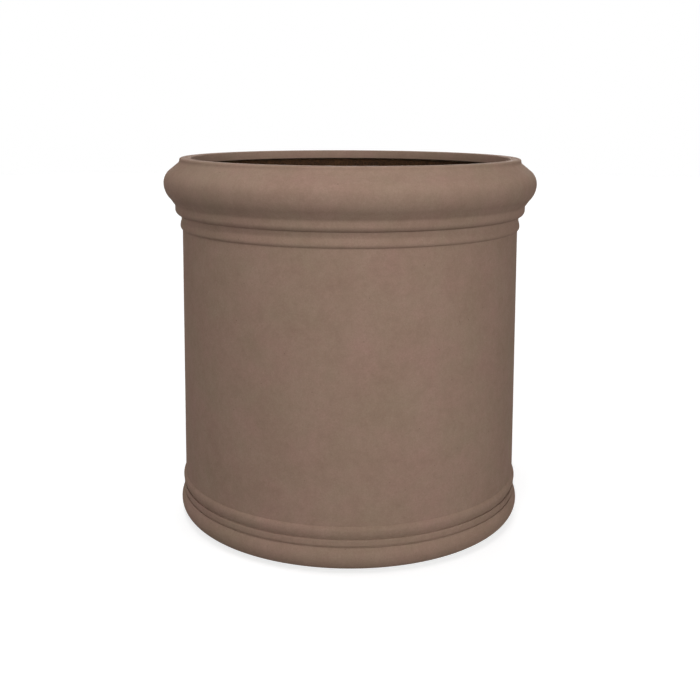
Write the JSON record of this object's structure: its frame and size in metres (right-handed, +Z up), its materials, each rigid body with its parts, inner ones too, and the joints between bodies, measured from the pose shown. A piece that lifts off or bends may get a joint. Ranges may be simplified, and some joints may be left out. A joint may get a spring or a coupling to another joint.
{
  "type": "floor planter",
  "caption": "Tall round floor planter in stone-look glass-fibre laminate, with a rolled rim, beaded foot, battened floor and a lift-out drain plug.",
  "frame": {"origin": "centre of the circle of foot pads, on the ground", "axes": "+Z up along the planter's axis; +X through the first foot pad; the floor battens run along Y"},
  "size_m": [0.95, 0.95, 0.9193],
  "materials": {
    "stone_gelcoat": "matt sanded gelcoat in a mottled brown stone look",
    "raw_laminate": "raw glass-fibre laminate, dark and rough",
    "core_foam": "cut rigid foam",
    "batten_timber": "sawn softwood, sealed",
    "drain_plastic": "moulded black plastic",
    "black_rubber": "moulded black rubber",
    "screw_steel": "stainless steel"
  },
  "bodies": {
    "planter": {"rim_moulding": "stone_gelcoat", "rim_core": "core_foam", "rim_inner_skin": "raw_laminate", "body_wall": "stone_gelcoat", "base_moulding": "stone_gelcoat", "base_tabbing": "raw_laminate", "floor_bearer_1": "batten_timber", "floor_bearer_2": "batten_timber", "floor_bearer_3": "batten_timber", "floor_bearer_4": "batten_timber", "floor_panel": "raw_laminate", "floor_cove": "raw_laminate", "drain_body": "drain_plastic", "drain_gasket": "black_rubber", "drain_lock_nut": "drain_plastic", "foot_pad_1": "black_rubber", "foot_pad_2": "black_rubber", "foot_pad_3": "black_rubber", "foot_pad_4": "black_rubber", "foot_pad_5": "black_rubber", "foot_pad_6": "black_rubber", "foot_screw_1": "screw_steel", "foot_screw_2": "screw_steel", "foot_screw_3": "screw_steel", "foot_screw_4": "screw_steel", "foot_screw_5": "screw_steel", "foot_screw_6": "screw_steel"},
    "plug": {"drain_plug": "black_rubber"}
  },
  "joints": [
    {"name": "plug_lift", "type": "slide", "parent": "planter", "child": "plug", "axis": [0, 0, 1], "range_m": [0, 0.9]}
  ]
}
